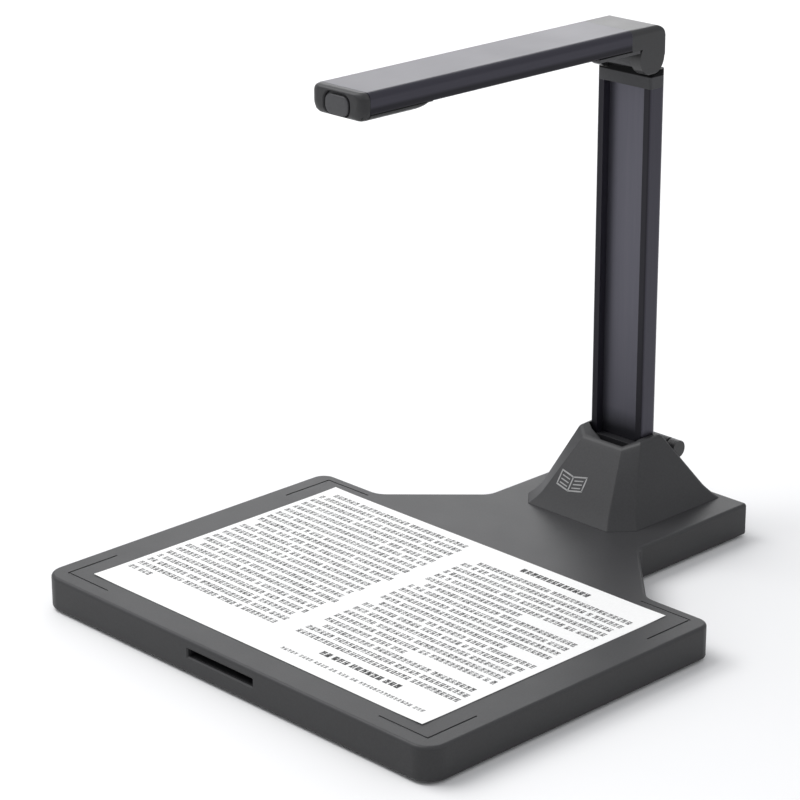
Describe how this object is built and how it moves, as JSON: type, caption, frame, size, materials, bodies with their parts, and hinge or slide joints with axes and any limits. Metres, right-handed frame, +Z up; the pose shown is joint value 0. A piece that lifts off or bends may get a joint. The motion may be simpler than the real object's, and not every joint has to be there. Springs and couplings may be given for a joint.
{
  "type": "book scanner",
  "caption": "Overhead document scanner: flat base with corner marks and a card slot, folding column, folding arm with a camera head and a scan button.",
  "frame": {"origin": "centre of the base's plan on the surface that the rubber feet stand on", "axes": "+X to the right when facing the front, +Y to the back where the column stands, +Z up"},
  "size_m": [0.35, 0.41, 0.353],
  "materials": {
    "dark_shell": "fine matte texture",
    "light_cover": "satin",
    "bottom_sheet": "powder coated sheet steel",
    "screw_steel": "zinc plated",
    "foot_rubber": "matte",
    "black_plastic": "moulded",
    "contact_brass": "plated",
    "circuit_board": "solder mask",
    "bright_steel": "ground",
    "cable_rubber": "cable sheath",
    "cast_frame": "die cast, painted",
    "anodised": "anodised, fine brushed",
    "anodised_strip": "anodised, satin",
    "sensor": "glossy",
    "barrel_metal": "black anodised",
    "lens": "coated glass",
    "white_board": "white solder mask",
    "lamp": "phosphor",
    "window": "diffusing plastic",
    "paper": "paper"
  },
  "bodies": {
    "base": {"base_shell": "dark_shell", "base_plate": "bottom_sheet", "base_screws": "screw_steel", "rubber_feet": "foot_rubber", "card_reader": "black_plastic", "card_contacts": "contact_brass", "card_reader_board": "circuit_board", "main_board": "circuit_board", "main_board_chips": "black_plastic", "board_screws": "screw_steel", "usb_port": "bright_steel", "base_cable": "cable_rubber", "boot_shell": "dark_shell", "boot_frame": "cast_frame", "boot_screws": "screw_steel", "fold_pins": "bright_steel"},
    "column": {"column_foot": "black_plastic", "column_channel": "anodised", "column_strip": "anodised_strip", "column_head": "dark_shell", "column_screws": "screw_steel", "column_cable": "cable_rubber"},
    "arm": {"elbow": "dark_shell", "elbow_cover": "light_cover", "elbow_screws": "screw_steel", "hinge_shaft": "bright_steel", "friction_washers": "bright_steel", "arm_channel": "anodised", "arm_strip": "anodised_strip", "arm_cable": "cable_rubber", "head_cover": "dark_shell", "end_cap": "dark_shell", "camera_board": "circuit_board", "image_sensor": "sensor", "lens_holder": "black_plastic", "lens_barrel": "barrel_metal", "lens_glass": "lens", "led_board": "white_board", "led_lamps": "lamp", "led_windows": "window", "button_switch": "black_plastic"},
    "button": {"scan_button": "dark_shell"},
    "page": {"page_sheet": "paper"}
  },
  "joints": [
    {"name": "column_fold", "type": "hinge", "parent": "base", "child": "column", "pos_m": [0, 0.175, 0.061], "axis": [-1, 0, 0], "range_deg": [0, 90]},
    {"name": "arm_fold", "type": "hinge", "parent": "column", "child": "arm", "pos_m": [0, 0.146, 0.333], "axis": [1, 0, 0], "range_deg": [0, 90]},
    {"name": "button_press", "type": "slide", "parent": "arm", "child": "button", "axis": [0, 1, 0], "range_m": [0, 0.0008], "stiffness_N_per_m": 800, "springref_m": -0.001},
    {"name": "page_lift", "type": "slide", "parent": "base", "child": "page", "axis": [0, 0, 1], "range_m": [0, 0.05]}
  ]
}
